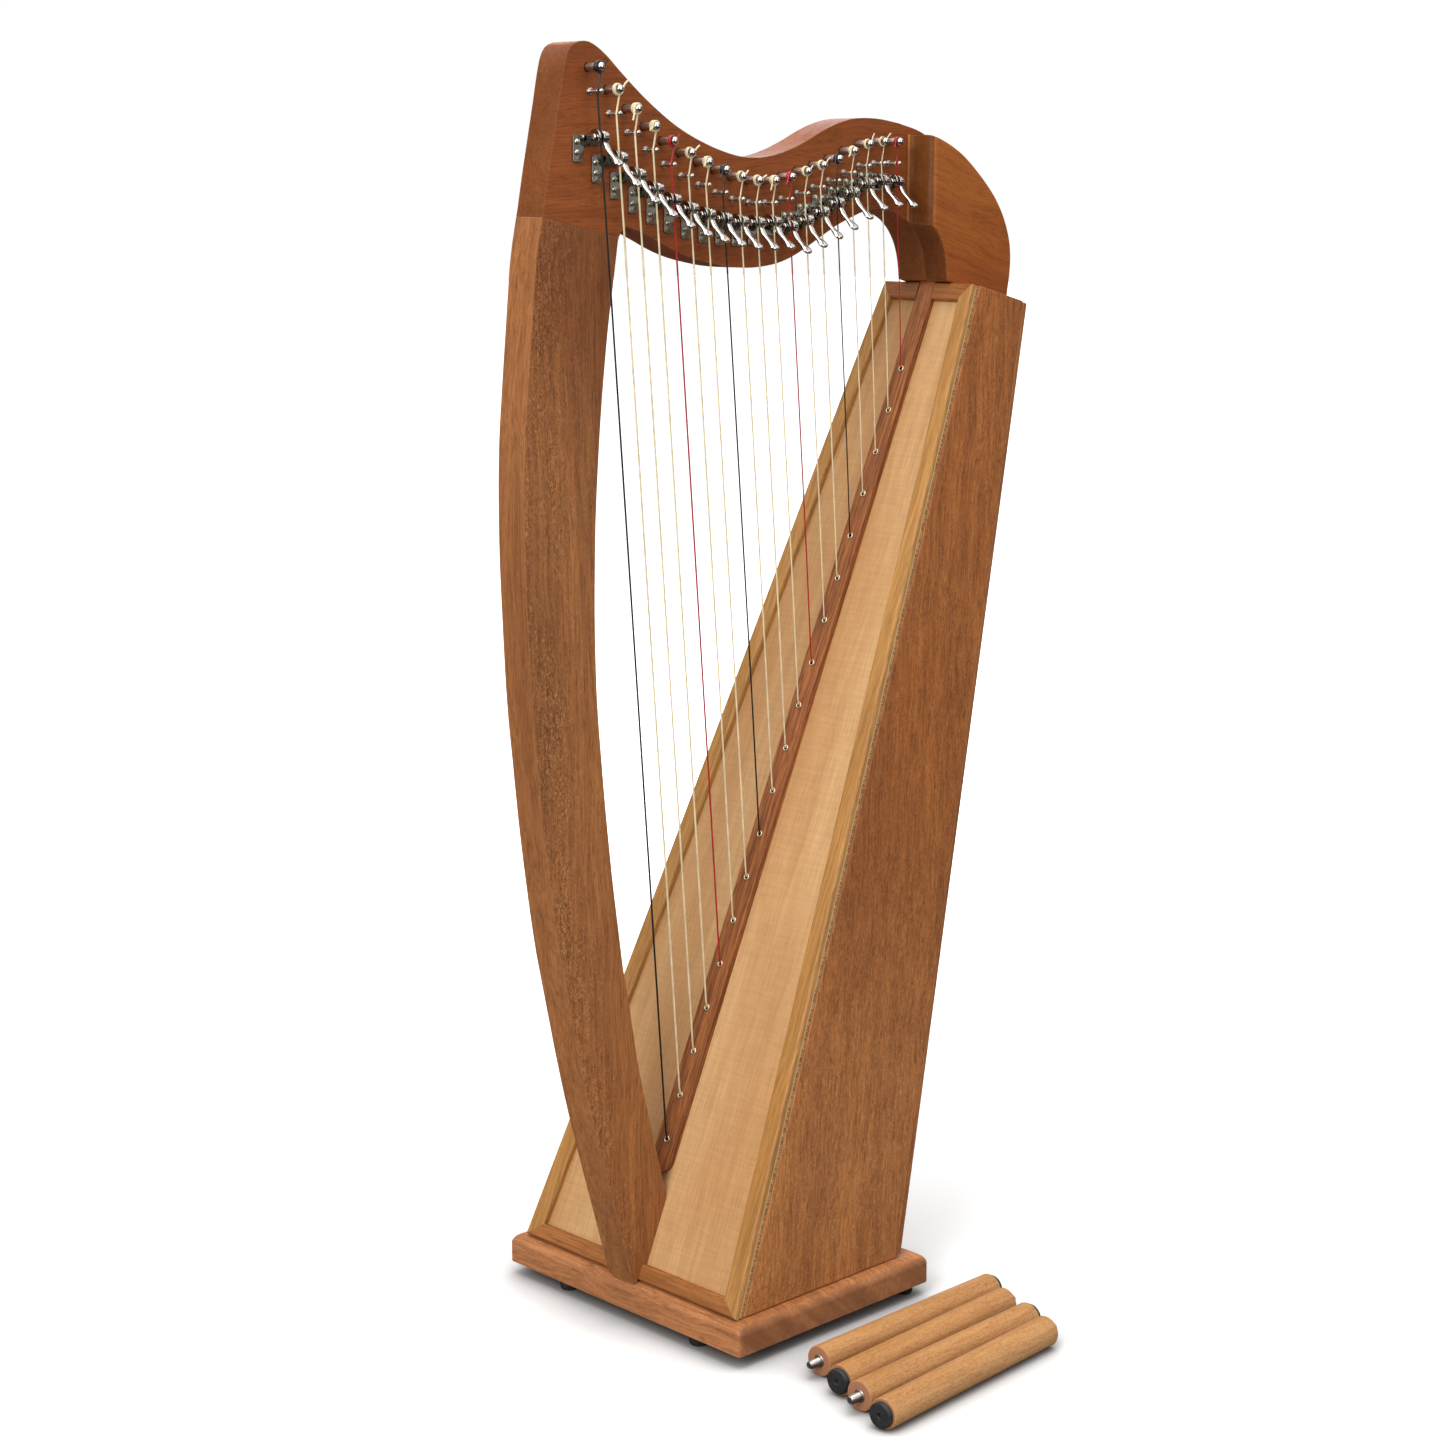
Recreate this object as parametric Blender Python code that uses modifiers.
"""Nineteen-string lever harp: a one-piece curved neck, a bowed pillar and a tapered
soundbox on a base plate, with a tuning pin and a sharping lever for each string and
four screw-in extension legs lying beside it.

Frame: metres, +Z up.  The origin is the centre of the base plate's underside.
+X runs from the pillar to the back of the soundbox, -Y is the side the strings are on.
All the driving dimensions below are in millimetres.  Outlines of the soundbox, neck and
pillar are (x, z) points.
"""

import math
from typing import NamedTuple

import bmesh
import bpy
import numpy as np
from mathutils import Matrix, Vector

MM = 0.001
GAP = 0.3                       # clearance between wooden pieces that touch

# Base plate: width along Y, depth along X
BASE_W, BASE_D, BASE_T = 215.8, 171.4, 18.8
BASE_ROUND, BASE_CORNER = 6.0, 2.5      # rounding of the top edge, corner radius in plan
CORNER_GROWTH = 0.35                    # added corner radius per mm the outline draws in
CUT_START_Z = -5.0                      # the base cutters start this far down
FOOT_H, FOOT_R, FOOT_RECESS, RECESS_PLAY = 8.0, 6.6, 1.5, 1.2
FOOT_XY = {"foot_front_left": (-75.0, -61.0), "foot_front_right": (-75.0, 61.0),
           "foot_rear_left": (76.0, -95.0), "foot_rear_right": (76.0, 95.0)}
LEG_SOCKET_XY = [(-60.0, -80.0), (-60.0, 80.0), (56.0, -80.0), (56.0, 80.0)]
LEG_SOCKET_R, LEG_SOCKET_DEPTH = 3.4, 16.0
FLOOR_Z = BASE_T + GAP                  # underside of what stands on the base

# Soundbox: its front line (outer face of the trim) and rear line (outer face of the back)
FRONT_A, FRONT_B = (-81.4, 18.8), (193.1, 635.2)
REAR_A, REAR_B = (69.5, 18.8), (247.6, 621.1)
HALF_W0, HALF_W1 = 98.5, 38.7           # half width at FRONT_A and FRONT_B
TRIM_T, BOARD_T, SIDE_T, BACK_T, CAP_T = 4.0, 3.0, 6.0, 4.0, 6.0
PANEL_INSET = 0.2                       # soundboard and back, within the box's sides
BOARD_TOP_GAP = 0.9
BACK_LOW_GAP, BACK_TOP_GAP = 1.5, 0.6
TRIM_SIDE0, TRIM_SIDE1, TRIM_BOTTOM, TRIM_TOP = 13.0, 10.0, 12.5, 12.0
TRIM_BEVEL, TRIM_BEVEL_ANGLE = 1.2, 50.0
RIB_START, RIB_W0, RIB_W1 = 69.7, 17.0, 14.0
INNER_RIB_T, INNER_RIB_W = 3.6, 15.0
INNER_RIB_START, INNER_RIB_TOP_GAP = 52.0, 26.0
ANCHOR_T, ANCHOR_W, ANCHOR_MARGIN = 2.8, 9.0, 8.0
SOUND_HOLES = [(150.0, 31.0), (290.0, 28.0), (425.0, 24.0)]   # along the back, radius

# Faces in the soundbox, as heights out of the front line
TRIM_BACK = -TRIM_T + GAP
BOARD_FRONT = -TRIM_T
BOARD_BACK = BOARD_FRONT - BOARD_T
INSIDE_FRONT = BOARD_BACK - GAP
ANCHOR_FRONT = INSIDE_FRONT - INNER_RIB_T - GAP

# Strings, counted from the pillar
STRINGS = 19
EYELET_FIRST, EYELET_PITCH, EYELET_R = 90.9, 29.05, 1.7       # along the front line
EYELET_CUT_OUT = 6.0            # the hole cutters start this far out of the front line
BRIDGE_X0, BRIDGE_PITCH, BRIDGE_BOW = -104.9, 14.156, 1.3
BRIDGE_CURVE = [                # (x, z) line of the bridge pins
    (-120, 763), (-105, 751), (-90, 738.2), (-75.5, 727.5), (-61.5, 718), (-47, 709.6),
    (-32.5, 702.9), (-18, 697.6), (-3.5, 693), (10, 689.3), (24, 687.1), (38.5, 687),
    (52, 689.2), (66, 692.5), (80, 696.3), (94.5, 700.4), (108, 705.2), (122, 709.6),
    (136, 711.2), (150, 711.2), (165, 709)]
STRING_Y = -10.0                # at the bridge pins
STRING_R0, STRING_R1 = 0.62, 0.36
STRING_MOUTH, STRING_TAIL = 0.6, 1.2    # string runs out of the rib and into the anchor bar
COIL_R, COIL_TURNS, COIL_Y0, COIL_Y1 = 3.6, 1.5, -12.6, -10.4
COIL_STEPS = 6                  # per turn

# Bridge pins
BRIDGE_PIN_R, BRIDGE_PIN_TIP, BRIDGE_PIN_ROOT = 1.45, -13.0, 7.5
BRIDGE_PIN_TAPER, BRIDGE_PIN_TIP_SHARE = 0.6, 0.6       # length of the tip, its end radius
BRIDGE_PIN_PLAY = 0.25
PIN_OFFSET, STRING_OFFSET = 0.9, 0.35   # shares of the two radii between pin and string

# Tuning pins, each straight above its string's bend at the bridge pin
PIN_DZ = 13.6
PIN_R, PIN_TIP_R, PIN_BORE_R = 2.4, 1.5, 2.9
PIN_TIP, PIN_TIP_L, PIN_BODY_END, PIN_DRIVE_END = -15.2, 1.5, 23.3, 35.8
PIN_SQUARE, PIN_SQUARE_RUN = 1.8, 2.0   # half the width across the flats, length of the change
BORE_Y0, BORE_Y1 = -10.0, 32.0          # reach of the neck's cutters

# Sharping levers: x, y and z of their parts are measured from the axle
LEVER_Y = -7.3
LEVER_BELOW = [                 # axle below the string's bend
    26.0, 25.3, 24.1, 22.5, 20.6, 19.2, 17.5, 15.6, 13.6, 12.0,
    11.5, 16.6, 16.5, 15.3, 13.8, 12.4, 11.4, 10.8, 11.4]
LEVER_AXLE_R, LEVER_HEAD_R, LEVER_DRUM_R = 1.4, 2.3, 4.2
LEVER_X0, LEVER_HEAD_T, LEVER_STEP = -4.3, 1.2, 0.01
LEVER_DRUM_X0, LEVER_DRUM_X1 = 1.3, 5.8
HANDLE_ROOT, HANDLE_TIP, HANDLE_X = (-1.6, -3.5), (-15.4, -16.2), 3.6   # (y, z), (y, z), x
HANDLE_LENGTH = math.dist(HANDLE_ROOT, HANDLE_TIP)
HANDLE_STATIONS = [             # distance from the root, half width, half thickness
    (0.0, 2.1, 1.4), (3.0, 2.2, 1.3), (8.5, 1.9, 1.0), (12.5, 2.6, 1.2),
    (16.0, 3.4, 1.3), (HANDLE_LENGTH, 1.8, 0.8)]
NUB_ANGLE, NUB_HALF_W = 85.0, 0.7       # angle from -Y down towards -Z
NUB_X, NUB_REACH = (0.8, 1.5), (0.3, 1.75)

# Lever brackets: a stepped strip on the neck with an ear for each lever
EAR_X0, EAR_X1, EAR_R, EAR_BORE = -2.7, -1.3, 5.0, 1.9
EAR_FOOT_HALF, EAR_FOOT_MARGIN, EAR_OVERLAP = 3.6, 0.3, 0.5
PLATE_T, PLATE_X0, PLATE_X1 = 0.9, -14.8, -0.9
HANGING_PLATES = 11             # these hang below their axle, the others are nearly centred
HANGING_REACH = (1.6, 14.4)     # above and below the axle
CENTRED_REACH, PLATE_CLEARANCE = 5.6, 3.2

# Neck, pillar and shoulder
NECK_Y0, NECK_Y1 = -1.5, 21.8
NECK_TOP = [
    (-139.9, 680.9), (-135.6, 703), (-131.1, 724), (-126.8, 744), (-122.6, 764),
    (-119.2, 773.4), (-114.6, 777.6), (-107.3, 779.2), (-100.2, 777.6),
    (-90.5, 771.8), (-78, 761.6), (-61, 748.6), (-43, 736.9), (-29, 729.5),
    (-14, 723.4), (2, 718.4), (18, 715), (32, 714.2), (46, 715.6), (60, 718.9),
    (75.6, 724.4), (88.4, 730), (101.3, 734.8), (114.3, 738.1), (127.5, 739.4),
    (144, 738.9), (161, 736.6)]
SHOULDER_BACK = [               # shared by the neck and the shoulder block
    (245.4, 663.4 + 14.2), (251.4, 663.4), (253.4, 652), (253, 640), (251, 628)]
SHOULDER_TOP = [
    (161, 736.6), (182, 731.5), (201, 722), (219.5, 708.2), (235, 692.6),
    (245.4, 677.6), (251.4, 663.4), (253.4, 652), (253, 640), (251, 628)]
BLOCK_TOP = [
    (168, 730.4), (182, 727), (201, 718.7), (219.5, 705.9), (235, 691.8),
    (245.4, 677.4), (251.4, 663.4), (253.4, 652), (253, 640), (251, 628)]
ARCH_SEAT, REAR_SEAT = 188.6, 249.6     # x of the seat's two ends on the soundbox
ARCH = [
    (188.2, 641), (187.2, 648), (184.8, 656.5), (181, 664), (175.6, 670.6), (168.6, 676),
    (160, 679.9)]
NECK_BELOW = [
    (160, 679.9), (149, 682.4), (138, 682.6), (128, 680.8), (118, 677.7), (106, 673.4),
    (95.5, 668.6), (84, 663), (75, 658.6), (62.5, 653.4), (50, 650),
    (38, 648.4), (24.4, 647.8), (8, 649), (-6, 651.2), (-20.9, 654.3),
    (-35.7, 659), (-50.2, 665.2), (-62.5, 670.2), (-75.6, 674)]
NECK_HEEL = (-80.4, 671.6)
JOINT_FRONT, JOINT_REAR = (-140.2, 680.2), (-81.6, 667.6)     # pillar to neck
PILLAR_FRONT = [
    (-140.4, 679.6), (-145.6, 655), (-150.4, 615), (-154.9, 575.4), (-157.4, 550),
    (-158.8, 520), (-159.2, 486), (-158.5, 452), (-156.6, 400), (-153.5, 363),
    (-149, 316), (-143.7, 274), (-139, 243), (-132.6, 211), (-124.4, 171),
    (-115.8, 134), (-105.3, 94.7), (-94.8, 57), (-84.4, 19.2)]
PILLAR_REAR = [
    (-56, 71.5), (-62.5, 98), (-67.6, 119), (-77.2, 160), (-84.6, 204),
    (-88.4, 224), (-91.8, 250), (-95.8, 281), (-100.2, 324), (-103.2, 360),
    (-105.6, 395), (-106.2, 438), (-105.4, 472), (-103.8, 506), (-100.9, 540),
    (-97.4, 573), (-92, 612), (-87, 640), (-82.4, 666)]
PILLAR_STEP = 21.0
PILLAR_Y_FOOT, PILLAR_Y_TOP = (-11.5, 11.5), (-1.5, 21.8)
BLOCK_LAYERS = [                # y, x of the front edge, how far the outline draws in
    (-1.8, 170.6, 0.0), (-3.2, 172.4, 0.0), (-6.0, 173.1, 0.0), (-11.0, 173.2, 0.0),
    (-16.0, 173.4, 0.0), (-19.0, 174.2, 0.5), (-20.5, 176.6, 1.6)]
BLOCK_CENTRE = (215.0, 680.0)   # the outline draws in towards this point
BLOCK_TOP_COUNT, BLOCK_LOW_COUNT = 14, 12
BLOCK_EDGE_MARGIN = 0.5         # outline points nearer the front edge than this are left out

# Extension legs: centre x, y, turn in degrees, and whether the stud points to +X
LEGS = {"leg_1": (21.4, -145.5, 0.4, False), "leg_2": (16.1, -169.8, 2.6, True),
        "leg_3": (3.2, -194.0, 1.6, False), "leg_4": (0.5, -217.2, 3.4, True)}
LEG_R, LEG_TIP_R, LEG_TIP_L, LEG_WOOD_L, LEG_STUD_R, LEG_STUD_L = 9.5, 7.8, 3.5, 160.0, 2.8, 8.5
LEG_CHAMFER, STUD_CHAMFER_R, STUD_CHAMFER_L = 0.8, 0.6, 1.0

TURNING_STEPS = 16
SMOOTH_ANGLE = 35.0

for old in list(bpy.data.objects):
    bpy.data.objects.remove(old, do_unlink=True)
HARP = bpy.data.collections.new("lever_harp")
CUTTERS = bpy.data.collections.new("cutters")
for collection in (HARP, CUTTERS):
    bpy.context.scene.collection.children.link(collection)
CUTTERS.hide_render = True


# ---------------------------------------------------------------- materials
def material(name, colour, roughness, metallic=0.0):
    made = bpy.data.materials.new(name)
    made.use_nodes = True
    shader = made.node_tree.nodes["Principled BSDF"]
    shader.inputs["Base Color"].default_value = (*colour, 1.0)
    shader.inputs["Roughness"].default_value = roughness
    shader.inputs["Metallic"].default_value = metallic
    made.diffuse_color = (*colour, 1.0)
    return made


WOOD_RED = material("neck_wood", colour=(0.27, 0.09, 0.025), roughness=0.38)
WOOD_PILLAR = material("pillar_wood", colour=(0.33, 0.14, 0.045), roughness=0.4)
WOOD_SIDE = material("side_wood", colour=(0.29, 0.12, 0.045), roughness=0.4)
WOOD_BASE = material("base_wood", colour=(0.36, 0.16, 0.06), roughness=0.4)
WOOD_TRIM = material("trim_wood", colour=(0.33, 0.14, 0.055), roughness=0.4)
WOOD_RIB = material("rib_wood", colour=(0.28, 0.11, 0.045), roughness=0.42)
WOOD_PALE = material("soundboard_wood", colour=(0.55, 0.3, 0.13), roughness=0.45)
WOOD_LEG = material("leg_wood", colour=(0.6, 0.31, 0.11), roughness=0.45)
RUBBER = material("rubber", colour=(0.015, 0.015, 0.015), roughness=0.75)
STEEL = material("pin_steel", colour=(0.55, 0.53, 0.5), roughness=0.28, metallic=1.0)
NICKEL = material("polished_nickel", colour=(0.72, 0.7, 0.67), roughness=0.12, metallic=1.0)
NYLON = material("string_nylon", colour=(0.75, 0.66, 0.47), roughness=0.3)


# ---------------------------------------------------------------- plane geometry
def unit(start, end):
    length = math.dist(start, end)
    return ((end[0] - start[0]) / length, (end[1] - start[1]) / length)


def meet(one, two):
    """Where two lines cross; a line is (point, direction)."""
    (ax, az), (ux, uz) = one
    (bx, bz), (vx, vz) = two
    t = ((bx - ax) * vz - (bz - az) * vx) / (ux * vz - uz * vx)
    return (ax + ux * t, az + uz * t)


def arc(radius, degrees):
    return [(radius * math.cos(math.radians(angle)), radius * math.sin(math.radians(angle)))
            for angle in degrees]


def circle(radius, count, start=0.0):
    return arc(radius, [start + 360 / count * k for k in range(count)])


def spline(points, step):
    """Points about `step` apart on a Catmull-Rom curve through the given points."""
    lead_in = tuple(2 * a - b for a, b in zip(points[0], points[1]))
    lead_out = tuple(2 * a - b for a, b in zip(points[-1], points[-2]))
    whole = [lead_in, *points, lead_out]
    out = []
    for four in zip(whole, whole[1:], whole[2:], whole[3:]):
        count = max(1, round(math.dist(four[1], four[2]) / step))
        for i in range(count):
            t = i / count
            out.append(tuple(
                0.5 * (2 * start + (end - before) * t
                       + (2 * before - 5 * start + 4 * end - after) * t * t
                       + (3 * start - before - 3 * end + after) * t ** 3)
                for before, start, end, after in zip(*four)))
    return out + [tuple(points[-1])]


def height_on(curve, x):
    """Height of an (x, z) polyline at x."""
    for (xa, za), (xb, zb) in zip(curve, curve[1:]):
        if min(xa, xb) <= x <= max(xa, xb):
            return za + (zb - za) * (x - xa) / (xb - xa)
    raise ValueError(f"x {x} is off the curve")


def resample(points, count):
    """`count` points at equal distances along a polyline."""
    steps = [math.dist(a, b) for a, b in zip(points, points[1:])]
    lengths = np.concatenate(([0.0], np.cumsum(steps)))
    wanted = np.linspace(0.0, lengths[-1], count)
    columns = [np.interp(wanted, lengths, column).tolist() for column in zip(*points)]
    return list(zip(*columns))


def trapezium(start, end, half_at, inset=0.0):
    return [(start, -half_at(start) + inset), (end, -half_at(end) + inset),
            (end, half_at(end) - inset), (start, half_at(start) - inset)]


# ---------------------------------------------------------------- making objects
def add(name, mesh, mat=None, group=HARP):
    made = bpy.data.objects.new(name, mesh)
    mesh.name = name
    if mat:
        mesh.materials.append(mat)
    group.objects.link(made)
    if group is CUTTERS:
        made.hide_render = True
        made.display_type = "WIRE"
    return made


def add_copies(first, stem, places):
    """Puts `first` at the first place and objects sharing its mesh at the others."""
    for i, place in enumerate(places):
        made = first if i == 0 else add(f"{stem}_{i + 1:02d}", first.data)
        made.location = place * MM


def from_bmesh(name, bm, mat, group=HARP):
    bmesh.ops.recalc_face_normals(bm, faces=bm.faces)
    mesh = bpy.data.meshes.new(name)
    bm.to_mesh(mesh)
    bm.free()
    return add(name, mesh, mat, group)


def smooth(obj):
    obj.data.shade_smooth()
    obj.data.set_sharp_from_angle(angle=math.radians(SMOOTH_ANGLE))


def evaluated_mesh(obj):
    bpy.context.view_layer.update()
    graph = bpy.context.evaluated_depsgraph_get()
    return bpy.data.meshes.new_from_object(obj.evaluated_get(graph))


def poly_curve(dimensions, outlines, cyclic):
    """A curve object with one straight-sided spline for each list of 3D points."""
    data = bpy.data.curves.new("outline", "CURVE")
    data.dimensions = dimensions
    for outline in outlines:
        poly = data.splines.new("POLY")
        poly.points.add(len(outline) - 1)
        for point, place in zip(poly.points, outline):
            point.co = (*place, 1.0)
        poly.use_cyclic_u = cyclic
    made = bpy.data.objects.new("outline", data)
    HARP.objects.link(made)
    return made


def curve_to_mesh(curve, name, mat, group, weld):
    """The curve object as a welded mesh object in the same place; weld is in its own units."""
    mesh = evaluated_mesh(curve)
    bm = bmesh.new()
    bm.from_mesh(mesh)
    bmesh.ops.remove_doubles(bm, verts=bm.verts, dist=weld)
    bmesh.ops.recalc_face_normals(bm, faces=bm.faces)
    bm.to_mesh(mesh)
    bm.free()
    made = add(name, mesh, mat, group)
    made.matrix_world = curve.matrix_world.copy()
    bpy.data.objects.remove(curve, do_unlink=True)
    return made


def plate(name, outlines, place, near, far, mat, group=HARP):
    """Flat outlines in millimetres, as a plate between local z = near and far of `place`.

    The first outline is the edge, the others are openings."""
    curve = poly_curve("2D", [[(x, y, 0.0) for x, y in outline] for outline in outlines], True)
    curve.data.fill_mode = "BOTH"
    curve.data.extrude = abs(far - near) / 2
    curve.matrix_world = (Matrix.Scale(MM, 4) @ place
                          @ Matrix.Translation((0, 0, (near + far) / 2)))
    made = curve_to_mesh(curve, name, mat, group, weld=2e-3)
    made.data.transform(made.matrix_world)
    made.matrix_world = Matrix.Identity(4)
    return made


def tube(name, path, radius, group):
    """A thin capped tube with a coarse section along a path in millimetres."""
    curve = poly_curve("3D", [[point * MM for point in path]], False)
    curve.data.bevel_depth = radius * MM
    curve.data.bevel_resolution = 0
    curve.data.use_fill_caps = True
    return curve_to_mesh(curve, name, None, group, weld=2e-6)


def frame_at(origin, x_axis, y_axis):
    x, y = Vector(x_axis).normalized(), Vector(y_axis).normalized()
    axes = Matrix((x, y, x.cross(y))).transposed().to_4x4()
    return Matrix.Translation(origin) @ axes


def panel_frame(start, direction):
    """Local x runs up a soundbox line, local y is +Y and local z points towards -X."""
    return frame_at((start[0], 0, start[1]), (direction[0], 0, direction[1]), (0, 1, 0))


UPRIGHT = frame_at((0, 0, 0), (1, 0, 0), (0, 0, 1))     # local x, y, z = world X, Z, -Y


def slab(name, outline, low_y, high_y, mat):
    """An XZ outline whose two faces stand at y = low_y(z) and high_y(z)."""
    made = plate(name, [outline], UPRIGHT, -1.0, 1.0, mat)
    for vertex in made.data.vertices:
        z = vertex.co.z / MM
        vertex.co.y = MM * (high_y(z) if vertex.co.y > 0 else low_y(z))


def loft(name, rings, mat, group=HARP):
    """A closed body through rings of the same number of points, in millimetres."""
    bm = bmesh.new()
    made = [[bm.verts.new(Vector(point) * MM) for point in ring] for ring in rings]
    for ring, following in zip(made, made[1:]):
        for i in range(len(ring)):
            j = (i + 1) % len(ring)
            bm.faces.new((ring[i], ring[j], following[j], following[i]))
    bm.faces.new(made[0][::-1])
    bm.faces.new(made[-1])
    return from_bmesh(name, bm, mat, group)


def turned(name, profile, mat):
    """A turned body about local Z from (radius, z) pairs running from top to bottom."""
    mesh = bpy.data.meshes.new(name)
    mesh.from_pydata([(radius * MM, 0, z * MM) for radius, z in profile],
                     [(i, i + 1) for i in range(len(profile) - 1)], [])
    made = add(name, mesh, mat)
    screw = made.modifiers.new("turn", "SCREW")
    screw.axis = "Z"
    screw.steps = screw.render_steps = TURNING_STEPS
    screw.use_merge_vertices = True
    screw.merge_threshold = 1e-6
    screw.use_smooth_shade = True
    return made


def cylinders(name, rods, segments):
    """Separate closed cutters in one mesh; each rod is (start, end, radius)."""
    bm = bmesh.new()
    for start, end, radius in rods:
        low, high = Vector(start), Vector(end)
        turn = (high - low).to_track_quat("Z", "Y").to_matrix().to_4x4()
        bmesh.ops.create_cone(bm, cap_ends=True, segments=segments, radius1=radius * MM,
                              radius2=radius * MM, depth=(high - low).length * MM,
                              matrix=Matrix.Translation((low + high) / 2 * MM) @ turn)
    return from_bmesh(name, bm, None, CUTTERS)


def boolean(obj, other, operation="DIFFERENCE"):
    modifier = obj.modifiers.new(operation.lower(), "BOOLEAN")
    modifier.operation = operation
    modifier.object = other
    modifier.solver = "EXACT"


def joined(name, pieces, mat):
    """Several separate helper bodies in one mesh."""
    bm = bmesh.new()
    for piece in pieces:
        bm.from_mesh(piece.data)
        bpy.data.objects.remove(piece, do_unlink=True)
    return from_bmesh(name, bm, mat, CUTTERS)


# ---------------------------------------------------------------- soundbox planes
FRONT_U, REAR_U, TOP_U = unit(FRONT_A, FRONT_B), unit(REAR_A, REAR_B), unit(FRONT_B, REAR_B)
FRONT_N = (-FRONT_U[1], FRONT_U[0])     # out of the soundboard, towards the strings
REAR_N = (REAR_U[1], -REAR_U[0])        # out of the back
TOP_N = (-TOP_U[1], TOP_U[0])           # up out of the cap
FRONT_LEN, REAR_LEN = math.dist(FRONT_A, FRONT_B), math.dist(REAR_A, REAR_B)
BOARD_PLACE = panel_frame(FRONT_A, FRONT_U)


def on_front(along, out):
    return (FRONT_A[0] + FRONT_U[0] * along + FRONT_N[0] * out,
            FRONT_A[1] + FRONT_U[1] * along + FRONT_N[1] * out)


def along_front(point):
    return (point[0] - FRONT_A[0]) * FRONT_U[0] + (point[1] - FRONT_A[1]) * FRONT_U[1]


def line(base, direction, normal, offset):
    return (base[0] + normal[0] * offset, base[1] + normal[1] * offset), direction


def front(offset):
    return line(FRONT_A, FRONT_U, FRONT_N, offset)


def rear(offset):
    return line(REAR_A, REAR_U, REAR_N, offset)


def top(offset):
    return line(FRONT_B, TOP_U, TOP_N, offset)


FLOOR = (0.0, FLOOR_Z), (1.0, 0.0)


def half_width(z):
    return HALF_W0 - (HALF_W0 - HALF_W1) * (z - FRONT_A[1]) / (FRONT_B[1] - FRONT_A[1])


def board_half(along):
    return HALF_W0 - (HALF_W0 - HALF_W1) * along / FRONT_LEN


def seat_z(x):
    """Underside of the neck and shoulder block where they sit on the soundbox."""
    return FRONT_B[1] + (x - FRONT_B[0]) * TOP_U[1] / TOP_U[0] + GAP


# ---------------------------------------------------------------- strings, by rule
BRIDGE_LINE = spline(BRIDGE_CURVE, 4.0)


class StringPath(NamedTuple):
    pin: Vector         # tuning pin axis
    bend: Vector        # at the bridge pin
    eye: Vector         # eyelet mouth
    radius: float


def eyelet_along(i):
    return EYELET_FIRST + EYELET_PITCH * i


def string_path(i):
    """String i, from 0 at the pillar to 18."""
    radius = STRING_R0 + (STRING_R1 - STRING_R0) * i / (STRINGS - 1)
    middle = (STRINGS - 1) / 2
    x = BRIDGE_X0 + BRIDGE_PITCH * i + BRIDGE_BOW * (1 - ((i - middle) / middle) ** 2)
    z = height_on(BRIDGE_LINE, x)
    eye_x, eye_z = on_front(eyelet_along(i), 0.0)
    return StringPath(Vector((x, 0, z + PIN_DZ)), Vector((x, STRING_Y, z)),
                      Vector((eye_x, 0, eye_z)), radius)


def bridge_pin_x(i):
    """The pin stands on the string's +X side, and the string bears on it."""
    string = string_path(i)
    return string.bend.x + PIN_OFFSET * BRIDGE_PIN_R + STRING_OFFSET * string.radius


def lever_axle(i):
    """The axle's centre, in line with the string as seen along Y."""
    string = string_path(i)
    share = LEVER_BELOW[i] / (string.bend.z - string.eye.z)
    crossing = string.bend.lerp(string.eye, share)
    return Vector((crossing.x, LEVER_Y, crossing.z))


def plate_reach(i):
    """How far bracket plate i reaches above and below its axle."""
    if i < HANGING_PLATES:
        return HANGING_REACH
    room = string_path(i - 1).bend.z - PLATE_CLEARANCE - lever_axle(i).z
    return min(CENTRED_REACH, room), CENTRED_REACH


# ---------------------------------------------------------------- base, feet
def base_ring(z, inset):
    """A rounded rectangle at height z, its corners a little rounder as it draws in."""
    radius = BASE_CORNER + CORNER_GROWTH * inset
    corner_x, corner_y = BASE_D / 2 - inset - radius, BASE_W / 2 - inset - radius
    return [(sx * corner_x + x, sy * corner_y + y, z)
            for sx, sy, start in ((1, 1, 0), (-1, 1, 90), (-1, -1, 180), (1, -1, 270))
            for x, y in arc(radius, range(start, start + 91, 30))]


def base_plate():
    rings = [base_ring(0.0, 0.0)]
    for x, z in arc(BASE_ROUND, (0, 30, 60, 90)):
        rings.append(base_ring(BASE_T - BASE_ROUND + z, BASE_ROUND - x))
    made = loft("base_plate", rings, WOOD_BASE)
    recesses = [((x, y, CUT_START_Z), (x, y, FOOT_RECESS), FOOT_R + RECESS_PLAY)
                for x, y in FOOT_XY.values()]
    sockets = [((x, y, CUT_START_Z), (x, y, LEG_SOCKET_DEPTH), LEG_SOCKET_R)
               for x, y in LEG_SOCKET_XY]
    boolean(made, cylinders("base_recesses", recesses, segments=16))
    boolean(made, cylinders("base_leg_sockets", sockets, segments=12))


def feet():
    profile = [(0, FOOT_RECESS - GAP), (FOOT_R, FOOT_RECESS - GAP), (FOOT_R, -1.5),
               (FOOT_R - 0.7, -FOOT_H + 0.8), (FOOT_R - 1.4, -FOOT_H), (0, -FOOT_H)]
    for name, (x, y) in FOOT_XY.items():
        turned(name, profile, RUBBER).location = (x * MM, y * MM, 0)


# ---------------------------------------------------------------- soundbox
def string_holes():
    """Cutter for the string holes through rib, board and inner rib."""
    rods = []
    for i in range(STRINGS):
        outer_x, outer_z = on_front(eyelet_along(i), EYELET_CUT_OUT)
        inner_x, inner_z = on_front(eyelet_along(i), ANCHOR_FRONT)
        rods.append(((outer_x, 0, outer_z), (inner_x, 0, inner_z), EYELET_R))
    return cylinders("string_holes", rods, segments=6)


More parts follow.
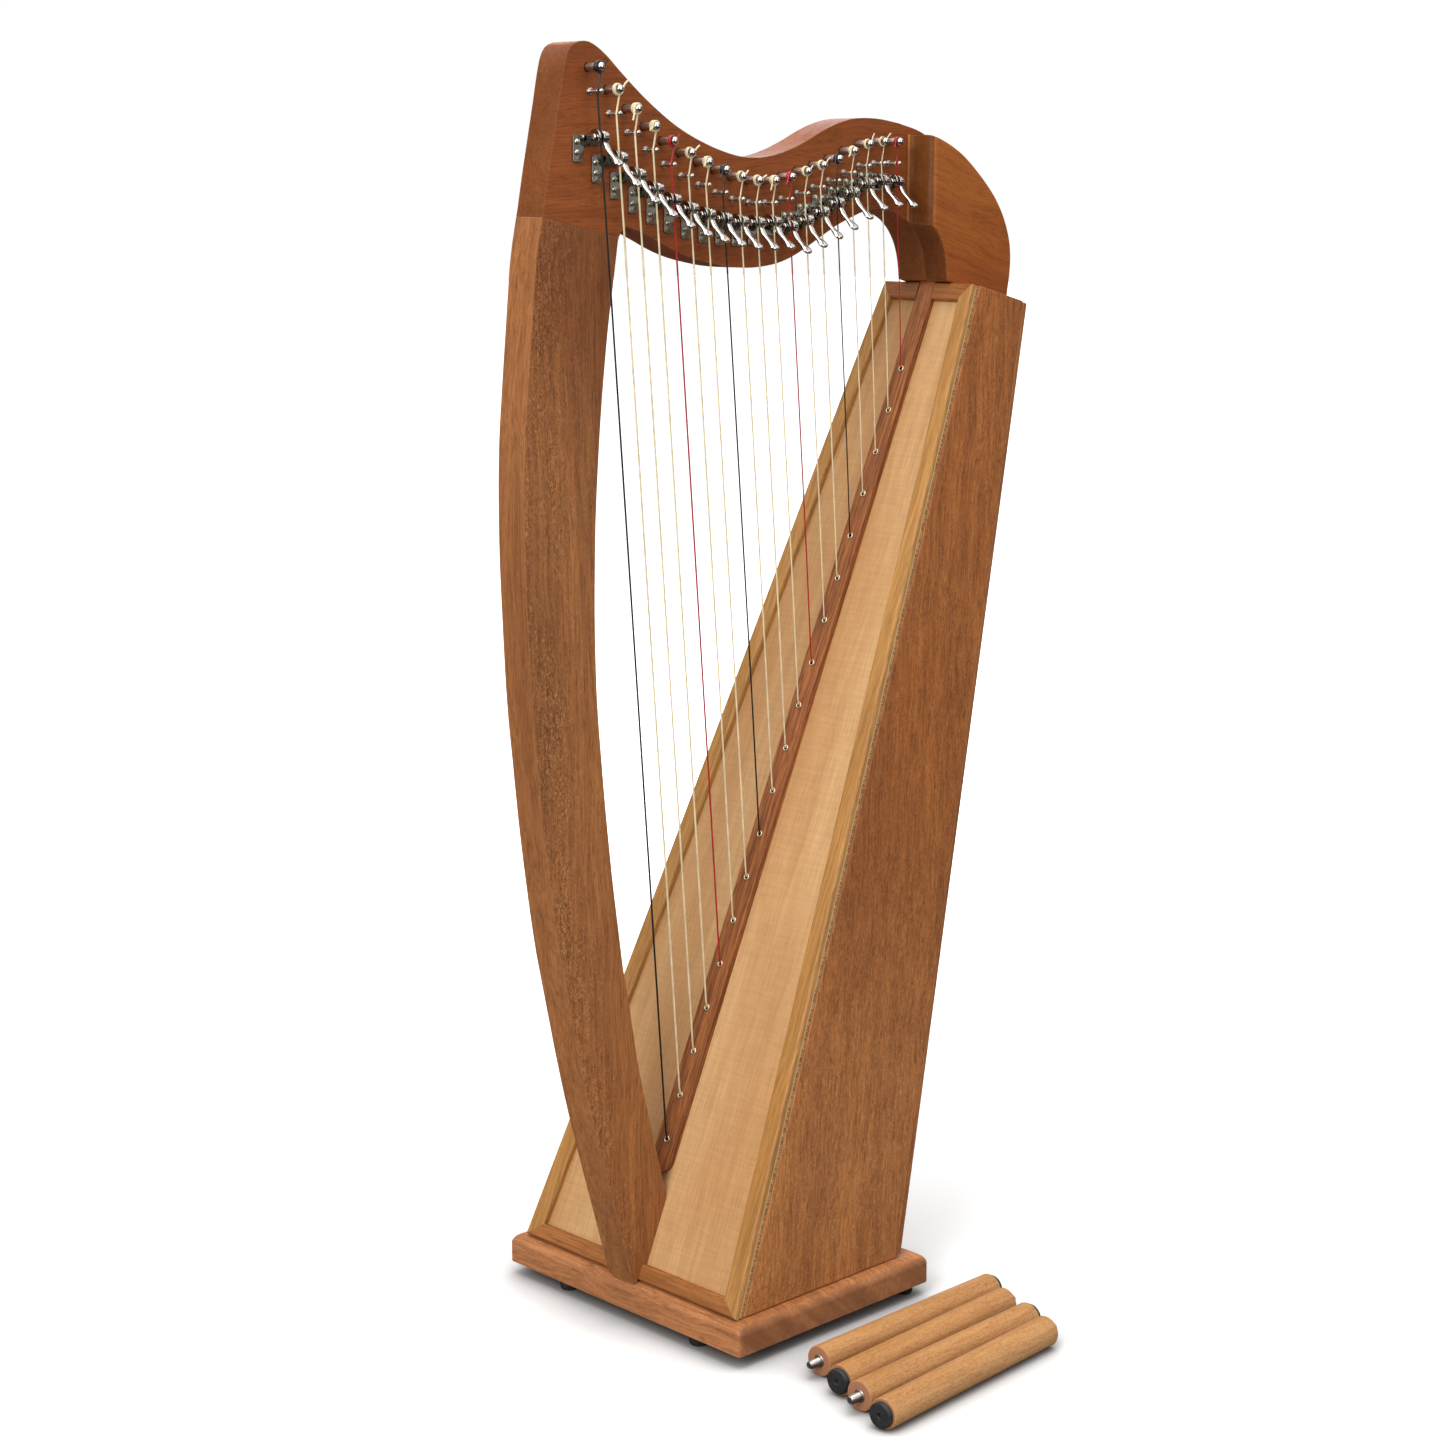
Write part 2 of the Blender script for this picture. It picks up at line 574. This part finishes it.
def soundboard(holes):
    start = along_front(meet(front(BOARD_BACK), FLOOR))
    stop = along_front(meet(front(BOARD_FRONT), top(0.0))) - BOARD_TOP_GAP
    board = plate("soundboard", [trapezium(start, stop, board_half, PANEL_INSET)],
                  BOARD_PLACE, BOARD_BACK, BOARD_FRONT, WOOD_PALE)
    boolean(board, holes)


def board_trim():
    """Frame on the board's edge, open at the top where the string rib runs through."""
    def inner_half(along):
        share = along / FRONT_LEN
        return board_half(along) - (TRIM_SIDE0 + (TRIM_SIDE1 - TRIM_SIDE0) * share)

    start, end = along_front(meet(front(TRIM_BACK), FLOOR)), FRONT_LEN
    low, high = TRIM_BOTTOM, FRONT_LEN - TRIM_TOP
    opening = RIB_W1 / 2 + GAP
    outline = [(start, -board_half(start)), (end, -board_half(end)),
               (end, -opening), (high, -opening), (high, -inner_half(high)),
               (low, -inner_half(low)), (low, inner_half(low)), (high, inner_half(high)),
               (high, opening), (end, opening), (end, board_half(end)),
               (start, board_half(start))]
    trim = plate("board_trim", [outline], BOARD_PLACE, TRIM_BACK, 0.0, WOOD_TRIM)
    bevel = trim.modifiers.new("round", "BEVEL")
    bevel.width = TRIM_BEVEL * MM
    bevel.segments = 1
    bevel.limit_method = "ANGLE"
    bevel.angle_limit = math.radians(TRIM_BEVEL_ANGLE)


def string_rib(holes):
    """Tapered rib up the middle of the board, with a round nose at its low end."""
    def rib_half(along):
        share = (along - RIB_START) / (FRONT_LEN - RIB_START)
        return (RIB_W0 + (RIB_W1 - RIB_W0) * share) / 2

    nose_r = RIB_W0 / 2
    nose_end = RIB_START + nose_r
    nose = [(nose_end - x, y) for x, y in arc(nose_r, (75, 45, 15, -15, -45, -75))]
    outline = [(nose_end, rib_half(nose_end)), *nose, (nose_end, -rib_half(nose_end)),
               (FRONT_LEN, -rib_half(FRONT_LEN)), (FRONT_LEN, rib_half(FRONT_LEN))]
    rib = plate("string_rib", [outline], BOARD_PLACE, TRIM_BACK, 0.0, WOOD_RIB)
    boolean(rib, holes)


def inner_rib(holes):
    outline = trapezium(INNER_RIB_START, FRONT_LEN - INNER_RIB_TOP_GAP,
                        lambda along: INNER_RIB_W / 2)
    rib = plate("inner_rib", [outline], BOARD_PLACE, INSIDE_FRONT - INNER_RIB_T, INSIDE_FRONT,
                WOOD_RIB)
    boolean(rib, holes)


def box_section(bottom):
    """Outline between board and back, from the line `bottom` up to the box's top."""
    inside_front, inside_rear = front(INSIDE_FRONT), rear(-BACK_T - GAP)
    return [meet(inside_front, bottom), meet(inside_front, top(0.0)),
            meet(inside_rear, top(0.0)), meet(inside_rear, bottom)]


def side_panels():
    """Sides that lean in with height."""
    section = box_section(FLOOR)
    slab("side_panel_left", section,
         lambda z: -half_width(z), lambda z: SIDE_T - half_width(z), WOOD_SIDE)
    slab("side_panel_right", section,
         lambda z: half_width(z) - SIDE_T, lambda z: half_width(z), WOOD_SIDE)


def back_panel():
    """Back with three round openings up its middle."""
    def back_half(along):
        return half_width(REAR_A[1] + REAR_U[1] * along)

    start = (FLOOR_Z - REAR_A[1]) / REAR_U[1] + BACK_LOW_GAP
    edge = trapezium(start, REAR_LEN - BACK_TOP_GAP, back_half, PANEL_INSET)
    holes = [[(along + x, y) for x, y in circle(radius, 20)] for along, radius in SOUND_HOLES]
    plate("back_panel", [edge, *holes], panel_frame(REAR_A, REAR_U), BACK_T, 0.0, WOOD_SIDE)


def top_cap():
    """Cap let in between the sides, the board and the back."""
    within = SIDE_T + GAP
    slab("top_cap", box_section(top(-CAP_T)),
         lambda z: within - half_width(z), lambda z: half_width(z) - within, WOOD_TRIM)


def soundbox():
    holes = string_holes()
    soundboard(holes)
    board_trim()
    string_rib(holes)
    inner_rib(holes)
    side_panels()
    back_panel()
    top_cap()


# ---------------------------------------------------------------- pillar, neck, shoulder
def pillar():
    """Bowed pillar, notched at its foot over the lower edge of the board trim."""
    notch = TRIM_BOTTOM + GAP
    rear_end = PILLAR_REAR[0], unit(PILLAR_REAR[1], PILLAR_REAR[0])
    outline = [(JOINT_FRONT[0] - 0.1, JOINT_FRONT[1] - GAP),
               *spline(PILLAR_FRONT, PILLAR_STEP)[1:],
               meet(front(GAP), FLOOR), on_front(notch, GAP), on_front(notch, TRIM_BACK),
               meet(front(TRIM_BACK), rear_end),
               *spline(PILLAR_REAR, PILLAR_STEP),
               (JOINT_REAR[0], JOINT_REAR[1] - GAP)]

    def lean(foot_y, top_y):
        height = JOINT_FRONT[1] - FLOOR_Z
        return lambda z: foot_y + (top_y - foot_y) * min(1.0, (z - FLOOR_Z) / height)

    low_y, high_y = (lean(*ends) for ends in zip(PILLAR_Y_FOOT, PILLAR_Y_TOP))
    slab("pillar", outline, low_y, high_y, WOOD_PILLAR)


def neck():
    outline = [(JOINT_FRONT[0], JOINT_FRONT[1] + GAP),
               *spline(NECK_TOP, 12.0)[1:-1],
               *spline(SHOULDER_TOP, 14.0),
               (REAR_SEAT, seat_z(REAR_SEAT)), (ARCH_SEAT, seat_z(ARCH_SEAT)),
               *spline(ARCH, 9.0)[:-1],
               *spline(NECK_BELOW, 13.0),
               NECK_HEEL, (JOINT_REAR[0], JOINT_REAR[1] + GAP)]
    made = plate("neck", [outline], UPRIGHT, -NECK_Y1, -NECK_Y0, WOOD_RED)
    pin_bores, bridge_bores = [], []
    for i in range(STRINGS):
        string = string_path(i)
        x, z = string.pin.x, string.pin.z
        pin_bores.append(((x, BORE_Y0, z), (x, BORE_Y1, z), PIN_BORE_R))
        x, z = bridge_pin_x(i), string.bend.z
        bridge_bores.append(((x, BORE_Y0, z), (x, BRIDGE_PIN_ROOT + GAP, z),
                             BRIDGE_PIN_R + BRIDGE_PIN_PLAY))
    boolean(made, cylinders("tuning_pin_bores", pin_bores, segments=10))
    boolean(made, cylinders("bridge_pin_bores", bridge_bores, segments=6))


def shoulder_block():
    """Thickens the neck over the soundbox; its front edge is coved into the neck's face."""
    upper = spline(BLOCK_TOP, 9.0)
    lower = spline([(ARCH_SEAT, seat_z(ARCH_SEAT) + 0.5)] + ARCH, 6.0)
    arch_foot = ARCH_SEAT + 0.2
    layers = []
    for y, x_front, inset in BLOCK_LAYERS:
        x_kept = x_front + BLOCK_EDGE_MARGIN
        tops = [(x_front, height_on(upper, x_front))] + [p for p in upper if p[0] > x_kept]
        lows = [p for p in lower if p[0] > x_kept] + [(x_front, height_on(lower, x_front))]
        outline = [*resample(tops, BLOCK_TOP_COUNT),
                   (REAR_SEAT, seat_z(REAR_SEAT)), (arch_foot, seat_z(arch_foot)),
                   *resample(lows, BLOCK_LOW_COUNT)]
        ring = []
        for x, z in outline:
            inward_x, inward_z = unit((x, z), BLOCK_CENTRE)
            ring.append((x + inward_x * inset, y, max(z + inward_z * inset, seat_z(x))))
        layers.append(ring)
    loft("shoulder_block", layers, WOOD_RED)


# ---------------------------------------------------------------- pins, strings, levers
def tuning_pins():
    """Round pins with a square drive end on the +Y side."""
    def round_ring(radius, y):
        return [(x, y, z) for x, z in circle(radius, 12, start=15)]

    def square_ring(half, y):
        return [(half * x / max(abs(x), abs(z)), y, half * z / max(abs(x), abs(z)))
                for x, z in circle(1.0, 12, start=15)]

    rings = [round_ring(PIN_TIP_R, PIN_TIP), round_ring(PIN_R, PIN_TIP + PIN_TIP_L),
             round_ring(PIN_R, PIN_BODY_END),
             square_ring(PIN_SQUARE, PIN_BODY_END + PIN_SQUARE_RUN),
             square_ring(PIN_SQUARE, PIN_DRIVE_END)]
    first = loft("tuning_pin_01", rings, STEEL)
    smooth(first)
    add_copies(first, "tuning_pin", [string_path(i).pin for i in range(STRINGS)])


def string_form(i):
    """String i from its coil on the tuning pin, over the bridge pin, into the anchor bar."""
    string = string_path(i)
    total = round(COIL_TURNS * COIL_STEPS)
    turns = arc(COIL_R, [360 * (total - k) / COIL_STEPS for k in range(total + 1)])
    path = [Vector((string.pin.x + x, COIL_Y0 + (COIL_Y1 - COIL_Y0) * k / total,
                    string.pin.z + z)) for k, (x, z) in enumerate(turns)]
    path.append(string.bend)
    for out in (STRING_MOUTH, ANCHOR_FRONT - STRING_TAIL):
        x, z = on_front(eyelet_along(i), out)
        path.append(Vector((x, 0, z)))
    return tube(f"string_{i}", path, string.radius, CUTTERS)


def bridge_pin_form(i):
    pin_x, pin_z = bridge_pin_x(i), string_path(i).bend.z
    stations = [(BRIDGE_PIN_R, BRIDGE_PIN_ROOT),
                (BRIDGE_PIN_R, BRIDGE_PIN_TIP + BRIDGE_PIN_TAPER),
                (BRIDGE_PIN_R * BRIDGE_PIN_TIP_SHARE, BRIDGE_PIN_TIP)]
    rings = [[(pin_x + x, y, pin_z + z) for x, z in circle(radius, 8, start=22.5)]
             for radius, y in stations]
    return loft(f"bridge_pin_{i}", rings, None, CUTTERS)


def string_set():
    """Strings and bridge pins, united with the anchor bar under the inner rib."""
    strings = joined("strings_only", [string_form(i) for i in range(STRINGS)], NYLON)
    pins = joined("bridge_pins_only", [bridge_pin_form(i) for i in range(STRINGS)], STEEL)
    outline = trapezium(EYELET_FIRST - ANCHOR_MARGIN, eyelet_along(STRINGS - 1) + ANCHOR_MARGIN,
                        lambda along: ANCHOR_W / 2)
    bar = plate("string_set", [outline], BOARD_PLACE, ANCHOR_FRONT - ANCHOR_T, ANCHOR_FRONT,
                NYLON)
    boolean(bar, strings, "UNION")
    boolean(bar, pins, "UNION")


def lever_ear(i, foot):
    """Bored ear standing out to -Y from the strip; `foot` is its root's distance out."""
    axle = lever_axle(i)
    place = frame_at((axle.x, 0, axle.z), (0, -1, 0), (0, 0, 1))     # local z = -X
    head = [(x - LEVER_Y, z) for x, z in arc(EAR_R, (-110, -65, -22, 22, 65, 110))]
    foot_top = min(EAR_FOOT_HALF, plate_reach(i)[0] - EAR_FOOT_MARGIN)
    outline = [(foot, -EAR_FOOT_HALF), *head, (foot, foot_top)]
    bore = [(x - LEVER_Y, z) for x, z in circle(EAR_BORE, 6)]
    return plate(f"ear_{i}", [outline, bore], place, -EAR_X1, -EAR_X0, None, CUTTERS)


def lever_brackets():
    upper, lower = [], []
    for i in range(STRINGS):
        axle = lever_axle(i)
        up, down = plate_reach(i)
        for x in (axle.x + PLATE_X0, axle.x + PLATE_X1):
            upper.append((x, axle.z + up))
            lower.append((x, axle.z - down))
    near = GAP - NECK_Y0            # distances out towards -Y
    far = near + PLATE_T
    strip = plate("lever_brackets", [upper + lower[::-1]], UPRIGHT, near, far, NICKEL)
    ears = [lever_ear(i, far - EAR_OVERLAP) for i in range(STRINGS)]
    boolean(strip, joined("lever_ears", ears, NICKEL), "UNION")


def lever_drum():
    """Axle along X with a small head at its -X end and the drum at its +X end."""
    stations = [(LEVER_HEAD_R, LEVER_X0), (LEVER_HEAD_R, LEVER_X0 + LEVER_HEAD_T),
                (LEVER_AXLE_R, LEVER_X0 + LEVER_HEAD_T + LEVER_STEP),
                (LEVER_AXLE_R, LEVER_DRUM_X0),
                (LEVER_DRUM_R, LEVER_DRUM_X0 + LEVER_STEP), (LEVER_DRUM_R, LEVER_DRUM_X1)]
    rings = [[(x, y, z) for y, z in circle(radius, 10)] for radius, x in stations]
    return loft("lever_01", rings, NICKEL)


def lever_handle():
    root, tip = Vector((HANDLE_X, *HANDLE_ROOT)), Vector((HANDLE_X, *HANDLE_TIP))
    out = (tip - root).normalized()
    side = Vector((0, -out.z, out.y))
    rings = [[root + out * distance + Vector((sx * half_w, 0, 0)) + side * (st * half_t)
              for sx, st in ((-1, -1), (1, -1), (1, 1), (-1, 1))]
             for distance, half_w, half_t in HANDLE_STATIONS]
    return loft("lever_handle_form", rings, NICKEL, CUTTERS)


def lever_nub():
    """Small block on the drum's -X face, below the axle."""
    angle = math.radians(NUB_ANGLE)
    out = Vector((0, -math.cos(angle), -math.sin(angle)))
    across = Vector((0, -out.z, out.y))
    near, far = NUB_REACH
    rings = [[Vector((x, 0, 0)) + out * reach + across * offset for reach, offset in
              ((near, -NUB_HALF_W), (far, -NUB_HALF_W), (far, NUB_HALF_W), (near, NUB_HALF_W))]
             for x in NUB_X]
    return loft("lever_nub_form", rings, NICKEL, CUTTERS)


def levers():
    """One lever mesh about its own axle (origin), with the handle hanging down and out."""
    first = lever_drum()
    boolean(first, lever_handle(), "UNION")
    boolean(first, lever_nub(), "UNION")
    # the unions are applied so that all the levers can share the result
    mesh = evaluated_mesh(first)
    first.modifiers.clear()
    first.data = mesh
    smooth(first)
    add_copies(first, "lever", [lever_axle(i) for i in range(STRINGS)])


def legs():
    """Extension legs lying on the ground, each with a stud at one end and a tip at the other."""
    end = (LEG_TIP_L + LEG_WOOD_L + LEG_STUD_L) / 2
    stud_root, tip_root = end - LEG_STUD_L, -end + LEG_TIP_L
    profile = [(0, end), (LEG_STUD_R - STUD_CHAMFER_R, end), (LEG_STUD_R, end - STUD_CHAMFER_L),
               (LEG_STUD_R, stud_root), (LEG_R - LEG_CHAMFER, stud_root),
               (LEG_R, stud_root - LEG_CHAMFER), (LEG_R, tip_root + LEG_CHAMFER),
               (LEG_R - LEG_CHAMFER, tip_root), (LEG_TIP_R, tip_root),
               (LEG_TIP_R, -end + LEG_CHAMFER), (LEG_TIP_R - LEG_CHAMFER, -end), (0, -end)]
    for name, (x, y, turn, stud_right) in LEGS.items():
        made = turned(name, profile, WOOD_LEG)
        heading = math.radians(turn + (0 if stud_right else 180))
        made.matrix_world = (Matrix.Translation(Vector((x, y, -FOOT_H + LEG_R)) * MM)
                             @ Matrix.Rotation(heading, 4, "Z")
                             @ Matrix.Rotation(math.radians(90), 4, "Y"))


base_plate()
feet()
soundbox()
pillar()
neck()
shoulder_block()
tuning_pins()
string_set()
lever_brackets()
levers()
legs()
